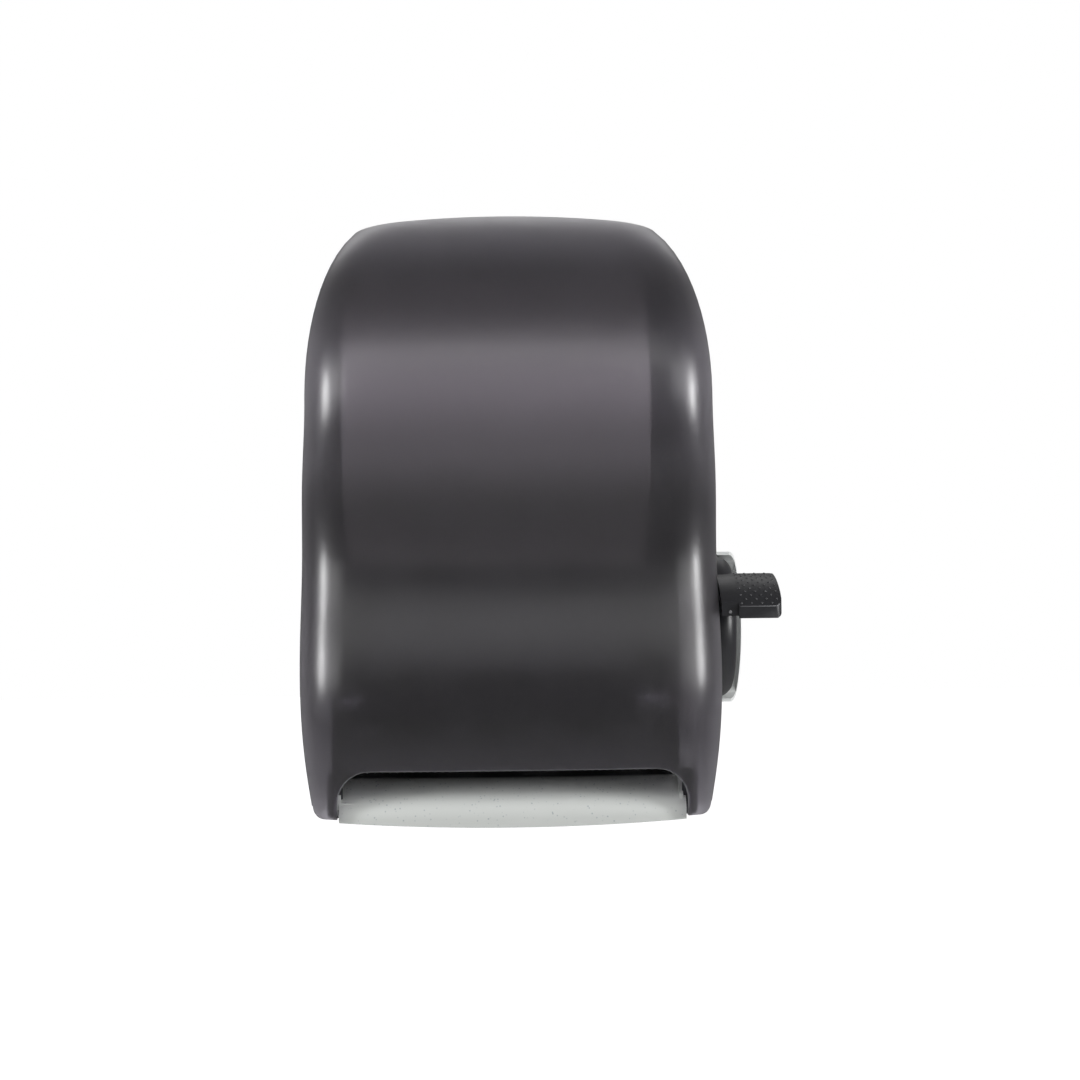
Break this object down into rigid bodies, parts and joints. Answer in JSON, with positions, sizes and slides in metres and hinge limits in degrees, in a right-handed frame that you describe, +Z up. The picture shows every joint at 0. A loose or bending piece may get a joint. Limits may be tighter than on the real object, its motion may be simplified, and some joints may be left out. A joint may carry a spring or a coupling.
{
  "type": "lever paper towel dispenser",
  "caption": "Wall-mounted roll towel dispenser: smoked hinged cover over a roll on swing arms, side lever with gear train, rubber feed roller, sprung pinch roller and tear bar.",
  "frame": {"origin": "centre of the four wall screw holes, on the wall face of the chassis", "axes": "+Z up, -Y out of the wall towards the user, +X right (the lever's side)"},
  "size_m": [0.3241, 0.2349, 0.4158],
  "materials": {
    "smoke_plastic": "gloss",
    "grey_plastic": "satin, fine grain",
    "black_plastic": "satin",
    "steel": "brushed",
    "zinc": "bright",
    "white_plastic": "satin",
    "rubber": "matt",
    "paper": "embossed, matt",
    "cardboard": "matt"
  },
  "bodies": {
    "chassis": {"chassis_back": "grey_plastic", "side_frame_left": "black_plastic", "side_frame_right": "black_plastic", "chute_apron": "grey_plastic", "front_rail": "black_plastic", "tear_bar": "steel", "gear_housing": "grey_plastic", "roller_bushes": "white_plastic", "lever_bush_inner": "white_plastic", "lever_bush_outer": "white_plastic", "hinge_pins": "steel", "arm_pins": "steel", "pinch_rod": "steel", "pinch_springs": "steel", "lever_return_spring": "steel", "lever_stop": "rubber", "frame_screws": "steel", "housing_screws": "steel"},
    "cover": {"front_cover": "smoke_plastic", "lock_nut": "zinc"},
    "lock": {"lock_barrel": "zinc", "lock_cam": "steel"},
    "lever_arm": {"lever": "black_plastic", "lever_shaft": "steel", "lever_clip": "steel", "lever_screw": "steel", "sector_gear": "white_plastic"},
    "pinion": {"pinion_gear": "white_plastic", "one_way_clutch": "steel"},
    "drive_roller": {"drive_shaft": "steel", "drive_roller_core": "black_plastic", "drive_sleeves": "rubber", "drive_clips": "steel"},
    "pinch_carrier": {"pinch_frame": "steel"},
    "pinch_roller": {"pinch_shaft": "steel", "pinch_wheels": "rubber"},
    "roll": {"paper_roll": "paper", "roll_core": "cardboard"},
    "arm_left": {"roll_arm_left": "black_plastic", "roll_hub_left": "white_plastic"},
    "arm_right": {"roll_arm_right": "black_plastic", "roll_hub_right": "white_plastic"}
  },
  "joints": [
    {"name": "cover_open", "type": "hinge", "parent": "chassis", "child": "cover", "pos_m": [0, -0.022, -0.19], "axis": [1, 0, 0], "range_deg": [0, 90]},
    {"name": "lock_turn", "type": "hinge", "parent": "cover", "child": "lock", "pos_m": [0, -0.06, 0.2], "axis": [0, 0, -1], "range_deg": [0, 90]},
    {"name": "lever_swing", "type": "hinge", "parent": "chassis", "child": "lever_arm", "pos_m": [0.145, -0.095, -0.0795], "axis": [1, 0, 0], "range_deg": [0, 55], "stiffness_Nm_per_rad": 0.5, "springref_deg": -22.92},
    {"name": "pinion_spin", "type": "hinge", "parent": "chassis", "child": "pinion", "pos_m": [0.1195, -0.15699, -0.12741], "axis": [1, 0, 0], "range_deg": [-303, 0]},
    {"name": "drive_spin", "type": "hinge", "parent": "chassis", "child": "drive_roller", "pos_m": [0, -0.15699, -0.12741], "axis": [1, 0, 0], "range_deg": [-303, 0]},
    {"name": "pinch_tilt", "type": "hinge", "parent": "chassis", "child": "pinch_carrier", "pos_m": [0, -0.11459, -0.16201], "axis": [1, 0, 0], "range_deg": [0, 8], "stiffness_Nm_per_rad": 0.6, "springref_deg": -28.65},
    {"name": "pinch_spin", "type": "hinge", "parent": "pinch_carrier", "child": "pinch_roller", "pos_m": [0, -0.14279, -0.15201], "axis": [1, 0, 0], "range_deg": [0, 757]},
    {"name": "roll_spin", "type": "hinge", "parent": "chassis", "child": "roll", "pos_m": [-0.0087, -0.114, 0.065], "axis": [1, 0, 0], "continuous": true},
    {"name": "arm_left_swing", "type": "hinge", "parent": "chassis", "child": "arm_left", "pos_m": [-0.1142, -0.008, 0.065], "axis": [0, 0, -1], "range_deg": [0, 6.5], "stiffness_Nm_per_rad": 4, "springref_deg": -5.73},
    {"name": "arm_right_swing", "type": "hinge", "parent": "chassis", "child": "arm_right", "pos_m": [0.0968, -0.008, 0.065], "axis": [0, 0, 1], "range_deg": [0, 6.5], "stiffness_Nm_per_rad": 4, "springref_deg": -5.73}
  ],
  "couplings": [
    {"joint": "pinion_spin", "follows": "lever_swing", "ratio": -5.5},
    {"joint": "drive_spin", "follows": "lever_swing", "ratio": -5.5},
    {"joint": "pinch_spin", "follows": "lever_swing", "ratio": 13.75}
  ]
}
